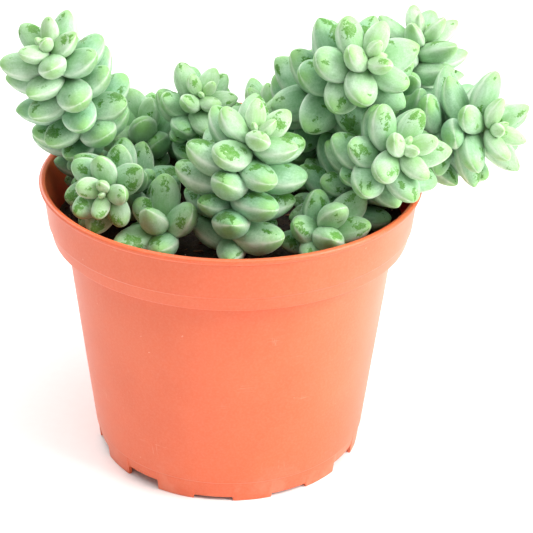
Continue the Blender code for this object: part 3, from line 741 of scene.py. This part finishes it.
def make_pot(material):
    """The section turned round the axis, with the notches in its foot ring and the drain holes."""
    section = np.array(pot_section())
    angles = pot_angles()
    raised = np.array([notch_depth(a) for a in angles])
    low = np.clip(1 - section[:, 1] / (DEEP_NOTCH + 0.5), 0, 1)
    heights = section[:, 1][:, None] + raised[None] * low[:, None]
    high = np.clip(section[:, 1] / POT_HEIGHT, 0, 1)[:, None]
    warp = WARP * np.sin(2 * angles + WARP_HEADING) * high**2
    radii = section[:, 0][:, None] + np.where(section[:, 0] > WARP_FROM_RADIUS, 1, 0)[:, None] * warp
    points = np.stack([radii * np.sin(angles), -radii * np.cos(angles), heights], -1).reshape(-1, 3)
    lengths = np.linalg.norm(np.diff(np.vstack([section, section[:1]]), axis=0), axis=1)
    along = np.concatenate([[0], np.cumsum(lengths)]) / lengths.sum() * WALL_UV + UV_EDGE
    around = np.append(angles - angles[0], math.tau) / math.tau * (1 - 2 * UV_EDGE) + UV_EDGE
    faces, cells = grid_faces(len(section) + 1, len(angles))
    faces = [tuple(i % len(points) for i in face) for face in faces]  # the last ring is the first
    uvs = [(around[column], along[row]) for cell in cells for column, row in cell]
    pot = mesh_object("nursery_pot", material, points, faces, uvs)
    drill(pot)
    return pot


def drill(pot):
    """Cuts the ring of drain holes round the one in the middle."""
    bm = bmesh.new()
    layer = bm.loops.layers.uv.new("OFBake")
    for k in range(DRAIN_HOLES):
        angle = math.tau * k / DRAIN_HOLES
        centre = placed((DRAIN_CIRCLE * math.sin(angle), -DRAIN_CIRCLE * math.cos(angle), CUTTER_MIDDLE))
        radius, place = DRAIN_RADIUS * MM, Matrix.Translation(Vector(centre))
        made = bmesh.ops.create_cone(bm, cap_ends=True, segments=CUTTER_SIDES, radius1=radius,
                                     radius2=radius, depth=CUTTER_LENGTH * MM, matrix=place)
        for vert in made["verts"]:
            for loop in vert.link_loops:
                turn = math.atan2(vert.co.y - centre[1], vert.co.x - centre[0]) / math.tau + 0.5
                loop[layer].uv = ((k + 0.1 + 0.8 * turn) / DRAIN_HOLES, HOLE_UV + vert.co.z)
    cutter_mesh = bpy.data.meshes.new("drain_holes")
    bm.to_mesh(cutter_mesh)
    bm.free()
    cutter = add_object("drain_holes", cutter_mesh)
    modifier = pot.modifiers.new("drain", "BOOLEAN")
    modifier.operation = "DIFFERENCE"
    modifier.solver = "EXACT"
    modifier.object = cutter
    bpy.context.view_layer.update()
    drilled = pot.evaluated_get(bpy.context.evaluated_depsgraph_get())
    pot.data = bpy.data.meshes.new_from_object(drilled)
    pot.modifiers.clear()
    pot.data.set_sharp_from_angle(angle=SHARP_ANGLE)
    bpy.data.objects.remove(cutter)


# ---- soil

SOIL_ROWS = 70
SOIL_COLUMNS = 160
INNER_RING = 0.4
SOIL_DIP = 1.0  # how far the crumbly surface is under the flat one
# Bits on the soil: how many, range of sizes, shape, range of tones, and whether they are white
BITS = (
    (620, (0.5, 1.5), (1.0, 0.9, 0.7), (0.0, 0.45), 0.0),  # crumbs of peat
    (190, (1.0, 2.6), (1.5, 0.7, 0.28), (0.35, 1.0), 0.0),  # chips of bark
    (70, (1.5, 3.6), (1.9, 0.13, 0.11), (0.5, 1.0), 0.0),  # fibres
    (46, (0.5, 1.1), (1.0, 0.9, 0.8), (0.6, 1.0), 1.0),  # grains of perlite
)
BITS_SEED = 11
BITS_REACH = 48.0
BIT_RAGGEDNESS = (0.65, 1.15)
BIT_TIP = 0.3
BIT_LIFT = 0.25


def soil_height(x, y):
    """The crumbly surface of the soil, in design millimetres."""
    wide = np.sin(x * 0.13 + 1.0) * np.cos(y * 0.11 - 0.4) + 0.6 * np.sin(x * 0.31 - y * 0.23)
    fine = np.sin(x * 1.1 + 2.3 * np.sin(y * 0.7)) * np.cos(y * 1.3 + 1.7 * np.sin(x * 0.9))
    grain = np.sin(x * 3.1 + 1.9 * np.sin(y * 2.3)) * np.cos(y * 2.9 + 2.1 * np.sin(x * 2.7))
    return SOIL_TOP - SOIL_DIP + 0.35 * wide + 0.45 * fine + 0.25 * grain


def make_soil(material):
    """The potting mix: a bumpy top on a plug that fills the pot."""
    floor = FLOOR_UNDERSIDE + FLOOR_THICKNESS + GAP
    ledge = POT_HEIGHT - BAND_HEIGHT + WALL
    side = BODY_TOP_RADIUS - WALL - GAP
    band = BAND_FOOT_RADIUS - WALL - GAP
    plug = [(body_radius(floor) - WALL - GAP, floor), (side, ledge - 0.4), (side + 0.1, ledge + 0.6),
            (band, ledge + 0.6)]
    turns = np.linspace(0, math.tau, SOIL_COLUMNS, endpoint=False)
    radii = [radius for radius, _ in plug] + list(np.linspace(band, INNER_RING, SOIL_ROWS))
    rings = []
    for k, radius in enumerate(radii):
        x, y = radius * np.sin(turns), -radius * np.cos(turns)
        height = np.full(SOIL_COLUMNS, plug[k][1]) if k < len(plug) else soil_height(x, y)
        rings.append(np.stack([x, y, height], -1))
    points = np.vstack(rings + [(0, 0, floor), (0, 0, soil_height(0.0, 0.0))])
    faces, _ = capped_faces(len(rings), SOIL_COLUMNS)
    return mesh_object("potting_mix", material, points, faces)


def chunk(rng):
    """A broken crumb: a lumpy little body of a few flat faces."""
    bm = bmesh.new()
    bmesh.ops.create_icosphere(bm, subdivisions=1, radius=1.0)
    points = np.array([vert.co for vert in bm.verts])
    faces = [tuple(vert.index for vert in face.verts) for face in bm.faces]
    bm.free()
    points = points * rng.uniform(*BIT_RAGGEDNESS, (len(points), 1))
    angle = rng.uniform(0, math.tau)
    axis = Vector(rng.normal(size=3)).normalized()
    return points @ np.array(Matrix.Rotation(angle, 3, axis)).T, faces


def make_soil_bits(material):
    """Crumbs of peat, chips of bark, a few fibres and grains of perlite, lying on the soil."""
    rng = np.random.default_rng(BITS_SEED)
    points, faces, tones, whites = [], [], [], []
    for number, sizes, shape, tone, white in BITS:
        for _ in range(number):
            radius = BITS_REACH * math.sqrt(rng.random())
            angle = rng.uniform(0, math.tau)
            x, y = radius * math.sin(angle), -radius * math.cos(angle)
            size = rng.uniform(*sizes)
            bit, own = chunk(rng)
            tip = Matrix.Rotation(rng.normal(0, BIT_TIP), 3, "X")
            turn = np.array(Matrix.Rotation(rng.uniform(0, math.tau), 3, "Z") @ tip)
            bit = bit * np.array(shape) * size * 0.5 @ turn.T
            bit += (x, y, soil_height(x, y) + size * shape[2] * BIT_LIFT)
            faces += shifted(own, len(points) * len(bit))
            points.append(bit)
            tones.append(np.full(len(bit), rng.uniform(*tone)))
            whites.append(np.full(len(bit), white))
    bits = mesh_object("soil_bits", material, np.vstack(points), faces, smooth=False)
    point_values(bits, "tone", np.concatenate(tones))
    point_values(bits, "white", np.concatenate(whites))
    return bits


# ---- materials


class Paint:
    """A node material: short names for the nodes that the materials here use."""

    def __init__(self, name):
        self.material = bpy.data.materials.new(name)
        self.material.use_nodes = True
        self.tree = self.material.node_tree
        self.shader = self.tree.nodes["Principled BSDF"]

    def put(self, socket, value):
        """Links a node's output to a socket, or sets the socket to a number or a colour."""
        if isinstance(value, bpy.types.NodeSocket):
            self.tree.links.new(value, socket)
        elif isinstance(value, tuple) and len(value) == 3 and len(socket.default_value) == 4:
            socket.default_value = (*value, 1)
        else:
            socket.default_value = value

    def make(self, kind, inputs, output=0, **settings):
        """A node with its inputs and settings, of which one output is handed on."""
        node = self.tree.nodes.new(kind)
        for key, value in settings.items():
            setattr(node, key, value)
        for key, value in inputs.items():
            self.put(node.inputs[key], value)
        return node.outputs[output]

    def read(self, name, vector=False):
        """A named value of the mesh's points."""
        node = self.tree.nodes.new("ShaderNodeAttribute")
        node.attribute_name = name
        return node.outputs["Vector" if vector else "Fac"]

    def place(self):
        """Where a point is, in metres."""
        return self.make("ShaderNodeTexCoord", {}, "Object")

    def stretched(self, vector, scale, shift=(0.0, 0.0, 0.0)):
        return self.make("ShaderNodeMapping", {"Vector": vector, "Scale": scale, "Location": shift})

    def noise(self, vector, scale, detail=3.0, roughness=0.55, distortion=0.0):
        inputs = {"Vector": vector, "Scale": scale, "Detail": detail, "Roughness": roughness,
                  "Distortion": distortion}
        return self.make("ShaderNodeTexNoise", inputs)

    def sum(self, a, b, how="ADD", clamp=False):
        """Two numbers added, or worked together in another way."""
        return self.make("ShaderNodeMath", {0: a, 1: b}, operation=how, use_clamp=clamp)

    def between(self, value, low, high, to_low=0.0, to_high=1.0):
        """A smooth step of value from low to high."""
        inputs = {"Value": value, "From Min": low, "From Max": high, "To Min": to_low, "To Max": to_high}
        return self.make("ShaderNodeMapRange", inputs, interpolation_type="SMOOTHSTEP")

    def mix(self, share, a, b):
        """A share of colour b over colour a."""
        node = self.tree.nodes.new("ShaderNodeMix")
        node.data_type = "RGBA"
        for place, value in ((0, share), (6, a), (7, b)):
            self.put(node.inputs[place], value)
        return node.outputs[2]

    def bump(self, height, strength, distance, normal=None):
        inputs = {"Height": height, "Strength": strength, "Distance": distance}
        if normal is not None:
            inputs["Normal"] = normal
        return self.make("ShaderNodeBump", inputs)

    def set(self, **values):
        """Sets the shader's inputs, named with underscores for spaces."""
        for key, value in values.items():
            self.put(self.shader.inputs[key.replace("_", " ")], value)


# Older leaves are darker and bluer: partly their own colour, partly painted shade on the low leaves deep
# in the plant. The cool bloom is a darker, bluer copy given to old leaves at random: painted shade.
YOUNG_SKIN = (0.27, 0.52, 0.13)
OLD_SHADED_SKIN = (0.060, 0.265, 0.075)
YOUNG_BLOOM = (0.59, 0.74, 0.54)
OLD_SHADED_BLOOM = (0.44, 0.62, 0.44)
COOL_SHADED_BLOOM = (0.32, 0.57, 0.38)
RUBBED_YOUNG = (0.13, 0.36, 0.035)
RUBBED_OLD_SHADED = (0.055, 0.20, 0.015)
TIP_TINT = (0.22, 0.48, 0.10)
# Pale margin colour: bloom, and partly a painted highlight along the outlines
EDGE_BLOOM_AND_HIGHLIGHT = (0.82, 0.92, 0.78)


def leaf_material():
    """A green skin under a powdery bloom, rubbed off in patches and thickest along the margins, with
    painted shade on the older, lower leaves and towards each leaf's foot, and a painted highlight in the
    pale margins.
    """
    paint = Paint("bloomed_leaf")
    here = paint.read("leaf_at", vector=True)
    young_and_lit, tone, along = paint.read("young_and_lit"), paint.read("tone"), paint.read("along")
    clouds = paint.noise(here, 1.0, detail=4.0)
    streaks = paint.noise(paint.stretched(here, (3.6, 0.6, 3.6)), 1.3, detail=5.0, roughness=0.65)
    powder = paint.noise(here, 9.0, detail=5.0, roughness=0.75)
    # Older leaves mix towards darker colours, partly painted shade on the low leaves; the bluer bloom
    # picked by the random tone is a painted shaded copy
    skin = paint.mix(young_and_lit, OLD_SHADED_SKIN, YOUNG_SKIN)
    bloom = paint.mix(tone, OLD_SHADED_BLOOM, COOL_SHADED_BLOOM)
    bloom = paint.mix(young_and_lit, bloom, YOUNG_BLOOM)
    cover = paint.sum(paint.between(clouds, 0.25, 0.75, 0.62, 1.05),
                      paint.between(streaks, 0.32, 0.68, 0.78, 1.10), "MULTIPLY")
    cover = paint.sum(cover, paint.between(powder, 0.32, 0.68, 0.74, 1.14), "MULTIPLY")
    # Thinner bloom towards the foot, partly painted shade where the leaf meets its stem
    thin_bloom_and_shade = paint.between(paint.read("middle"), 0.0, 0.8, 1.06, 0.40)
    cover = paint.sum(cover, thin_bloom_and_shade, "MULTIPLY", clamp=True)
    colour = paint.mix(cover, skin, bloom)
    tinted = paint.sum(paint.between(along, 0.70, 1.0),
                       paint.between(clouds, 0.3, 0.6, 0.15, 0.75), "MULTIPLY")
    colour = paint.mix(tinted, colour, TIP_TINT)
    ragged = paint.noise(here, 4.2, detail=6.0, roughness=0.72)
    wear = paint.sum(paint.read("rub"), paint.between(ragged, 0.25, 0.75, -0.42, 0.42))
    worn = paint.between(wear, 0.50, 0.60)
    patchy = paint.sum(worn, paint.between(powder, 0.40, 0.65, 1.0, 0.72), "MULTIPLY")
    # Rubbed patches are real wear; on old leaves they are darker, partly painted shade
    colour = paint.mix(patchy, colour, paint.mix(young_and_lit, RUBBED_OLD_SHADED, RUBBED_YOUNG))
    # Pale margins: thick bloom, and partly a painted highlight along the outlines
    edge_bloom_and_highlight = paint.sum(paint.read("edge_bloom_and_highlight"), paint.between(streaks, 0.3, 0.6, 0.55, 1.0), "MULTIPLY")
    edge_bloom_and_highlight = paint.sum(edge_bloom_and_highlight, paint.between(worn, 0.0, 1.0, 0.62, 0.30), "MULTIPLY")
    colour = paint.mix(edge_bloom_and_highlight, colour, EDGE_BLOOM_AND_HIGHLIGHT)
    roughness = paint.sum(paint.between(powder, 0.2, 0.8, 0.54, 0.70),
                          paint.between(worn, 0.0, 1.0, 0.0, 0.14), "SUBTRACT")
    relief = paint.bump(streaks, 0.14, 0.0005)
    relief = paint.bump(powder, 0.20, 0.0002, relief)
    paint.set(Base_Color=colour, Roughness=roughness, Normal=relief)
    paint.set(Subsurface_Weight=0.06, Subsurface_Radius=(0.45, 1.0, 0.30), Subsurface_Scale=0.0012,
              Sheen_Weight=0.10, Sheen_Roughness=0.40, Specular_IOR_Level=0.45)
    return paint.material


def stem_material():
    """Pale green skin, browner and drier towards the soil."""
    paint = Paint("stem_skin")
    here = paint.place()
    height = paint.make("ShaderNodeSeparateXYZ", {"Vector": here}, "Z")
    spots = paint.noise(here, 900.0, detail=4.0, roughness=0.6)
    fade = paint.between(paint.sum(height, paint.between(spots, 0.3, 0.7, -0.004, 0.004)), 0.073, 0.09)
    colour = paint.mix(fade, (0.22, 0.15, 0.07), (0.30, 0.46, 0.20))
    colour = paint.mix(paint.between(spots, 0.5, 0.75), colour, (0.42, 0.44, 0.28))
    paint.set(Base_Color=colour, Roughness=paint.between(spots, 0.2, 0.8, 0.5, 0.75),
              Normal=paint.bump(spots, 0.4, 0.0004))
    paint.set(Subsurface_Weight=0.08, Subsurface_Scale=0.0015)
    return paint.material


POT_ORANGE = (0.75, 0.138, 0.047)
POT_DEEP = (0.71, 0.122, 0.040)
POT_CHALK = (0.93, 0.52, 0.38)
# Fine scratches round the pot and up it: scale of their pattern on each axis, and its shift
SCRATCHES = (((14.0, 14.0, 420.0), (0.0, 0.0, 0.0)), ((260.0, 260.0, 12.0), (4.0, 4.0, 0.0)))


def pot_material():
    """Moulded terracotta-coloured plastic: satin, a little scuffed, with fine scratches and flecks."""
    paint = Paint("terracotta_plastic")
    here = paint.place()
    clouds = paint.noise(here, 26.0, detail=4.0, roughness=0.6)
    grain = paint.noise(here, 1500.0, detail=3.0, roughness=0.6)
    colour = paint.mix(paint.between(clouds, 0.35, 0.65), POT_ORANGE, POT_DEEP)
    colour = paint.mix(paint.between(grain, 0.3, 0.8, 0.0, 0.07), colour, POT_CHALK)
    lines = []
    for scale, shift in SCRATCHES:
        path = paint.stretched(here, scale, shift)
        line = paint.noise(path, 1.0, detail=2.0, roughness=0.5, distortion=0.3)
        off = paint.make("ShaderNodeMath", {0: paint.sum(line, 0.5, "SUBTRACT")}, operation="ABSOLUTE")
        lines.append(paint.between(off, 0.004, 0.014, 1.0, 0.0))
    scratch = paint.sum(lines[0], lines[1], "MAXIMUM")
    broken = paint.noise(here, 95.0, detail=3.0, roughness=0.6)
    scratch = paint.sum(scratch, paint.between(broken, 0.62, 0.74), "MULTIPLY")
    flecks = paint.between(paint.noise(here, 420.0, detail=2.0), 0.76, 0.79)
    height = paint.make("ShaderNodeSeparateXYZ", {"Vector": here}, "Z")
    low = paint.between(height, 0.0, 0.016, 1.0, 0.0)
    scuffs = paint.sum(low, paint.between(broken, 0.48, 0.66), "MULTIPLY")
    marks = 0.0
    for mark, strength in ((scratch, 0.22), (flecks, 0.4), (scuffs, 0.16)):
        marks = paint.sum(marks, paint.sum(mark, strength, "MULTIPLY"), "MAXIMUM")
    colour = paint.mix(marks, colour, POT_CHALK)
    roughness = paint.sum(paint.between(clouds, 0.3, 0.7, 0.34, 0.39), paint.sum(marks, 0.4, "MULTIPLY"))
    relief = paint.bump(grain, 0.05, 0.0002)
    relief = paint.bump(scratch, 0.15, 0.0001, relief)
    paint.set(Base_Color=colour, Roughness=roughness, Normal=relief)
    paint.set(Subsurface_Weight=0.10, Subsurface_Radius=(1.0, 0.32, 0.18), Subsurface_Scale=0.003,
              Specular_IOR_Level=0.45)
    return paint.material


def soil_material():
    """Dark peat with paler grains."""
    paint = Paint("peat")
    here = paint.place()
    coarse = paint.noise(here, 240.0, detail=5.0, roughness=0.7)
    fine = paint.noise(here, 1300.0, detail=4.0, roughness=0.7)
    colour = paint.mix(paint.between(coarse, 0.35, 0.65), (0.016, 0.010, 0.007), (0.060, 0.034, 0.019))
    colour = paint.mix(paint.between(fine, 0.58, 0.72), colour, (0.13, 0.075, 0.038))
    paint.set(Base_Color=colour, Roughness=paint.between(coarse, 0.2, 0.8, 0.75, 0.95),
              Normal=paint.bump(fine, 0.9, 0.0008))
    return paint.material


def bits_material():
    """Peat, bark and fibre by their tone, and perlite."""
    paint = Paint("bark_and_perlite")
    here = paint.place()
    fibre = paint.noise(paint.stretched(here, (1.0, 1.0, 3.0)), 900.0, detail=4.0, roughness=0.65)
    colour = paint.mix(paint.read("tone"), (0.022, 0.013, 0.008), (0.24, 0.105, 0.042))
    colour = paint.mix(paint.between(fibre, 0.4, 0.7, 0.0, 0.5), colour, (0.10, 0.055, 0.028))
    colour = paint.mix(paint.read("white"), colour, (0.62, 0.58, 0.50))
    paint.set(Base_Color=colour, Roughness=paint.between(fibre, 0.2, 0.8, 0.7, 0.95),
              Normal=paint.bump(fibre, 0.7, 0.0006))
    return paint.material


# ---- studio

# The camera, in design millimetres, as fitted to the rim, the band and the foot of the pot
CAMERA_PLACE = (0.0, -393.007, 261.706)
CAMERA_AHEAD = (0.02359073, 0.88466485, -0.46563031)
CAMERA_UP = (-0.0093755, 0.46593522, 0.88476916)
CAMERA_LENS = 103.06
SENSOR_WIDTH = 36.0
NEAREST = 0.01
# Square soft lights, in metres from the pot's axis: place, side, watts and colour
LIGHTS = {
    "window_right": ((0.62, -0.24, 0.50), 0.50, 9.0, (1.0, 0.985, 0.96)),
    "ceiling": ((0.0, -0.12, 0.85), 0.8, 5.0, (1.0, 1.0, 1.0)),
    "back_left": ((-0.42, 0.58, 0.50), 0.6, 4.5, (1.0, 1.0, 1.0)),
}
LIGHTS_AIM = (0.0, 0.0, 0.07)
SKY_STRENGTH = 0.45
FLOOR_REACH = 3000.0


def make_camera():
    """Where the photo was taken from."""
    camera = add_object("camera", bpy.data.cameras.new("camera"))
    camera.data.lens = CAMERA_LENS
    camera.data.sensor_width = SENSOR_WIDTH
    camera.data.clip_start = NEAREST
    ahead, up = Vector(CAMERA_AHEAD).normalized(), Vector(CAMERA_UP).normalized()
    right = ahead.cross(up).normalized()
    turn = Matrix((right, right.cross(ahead), -ahead)).transposed()
    camera.matrix_world = Matrix.Translation(placed(CAMERA_PLACE)) @ turn.to_4x4()
    bpy.context.scene.camera = camera


def soft_light(name, place, side, power, colour):
    """A square light that looks at the middle of the plant."""
    light = add_object(name, bpy.data.lights.new(name, "AREA"))
    light.data.shape = "SQUARE"
    light.data.size = side
    light.data.energy = power
    light.data.color = colour
    light.location = Vector(place) + Vector(POT_AXIS)
    aim = Vector(LIGHTS_AIM) + Vector(POT_AXIS) - light.location
    light.rotation_mode = "QUATERNION"
    light.rotation_quaternion = aim.to_track_quat("-Z", "Y")


def make_studio():
    """A white room with three soft lights over a pale floor."""
    bpy.context.scene.view_settings.view_transform = "Standard"
    world = bpy.data.worlds.new("studio")
    bpy.context.scene.world = world
    world.use_nodes = True
    sky = world.node_tree.nodes["Background"]
    sky.inputs["Color"].default_value = (1.0, 1.0, 1.0, 1)
    sky.inputs["Strength"].default_value = SKY_STRENGTH
    for name, settings in LIGHTS.items():
        soft_light(name, *settings)
    make_floor()


def make_floor():
    """A flat sheet of pale card under the pot."""
    paint = Paint("pale_card")
    grain = paint.between(paint.noise(paint.place(), 300.0, detail=3.0), 0.2, 0.8)
    paint.set(Base_Color=paint.mix(grain, (0.95, 0.95, 0.945), (0.97, 0.97, 0.965)))
    paint.set(Roughness=0.8, Specular_IOR_Level=0.2)
    corners = [(FLOOR_REACH * x, FLOOR_REACH * y, 0) for x, y in ((-1, -1), (1, -1), (1, 1), (-1, 1))]
    floor = mesh_object("floor", paint.material, corners, [(0, 1, 2, 3)])


# ---- the plant


def stand_for(piece, slot, *nodes):
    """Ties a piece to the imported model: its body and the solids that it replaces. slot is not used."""
    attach(piece, "root")
    if nodes:
        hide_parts(*nodes)


def make_plant():
    """The shoots, each with its leaves and its stem, and the fallen leaves."""
    green, bark = leaf_material(), stem_material()
    leaves = grow()
    for shoot in SHOOTS:
        name = shoot.replace("shoot_", "")
        own = [leaf for leaf in leaves if leaf.shoot == shoot]
        stand_for(leaf_piece("leaves_" + name, own, green), "leaf", shoot)
        stand_for(stem_piece("stem_" + name, shoot, bark), "leaf")
    for name in LOOSE_LEAVES:
        own = [leaf for leaf in leaves if leaf.shoot == name]
        stand_for(leaf_piece("fallen_" + name, own, green), "leaf", name)


def main():
    make_studio()
    make_camera()
    stand_for(make_pot(pot_material()), "pot", "pot")
    stand_for(make_soil(soil_material()), "soil", "soil")
    stand_for(make_soil_bits(bits_material()), "soil")
    make_plant()


main()
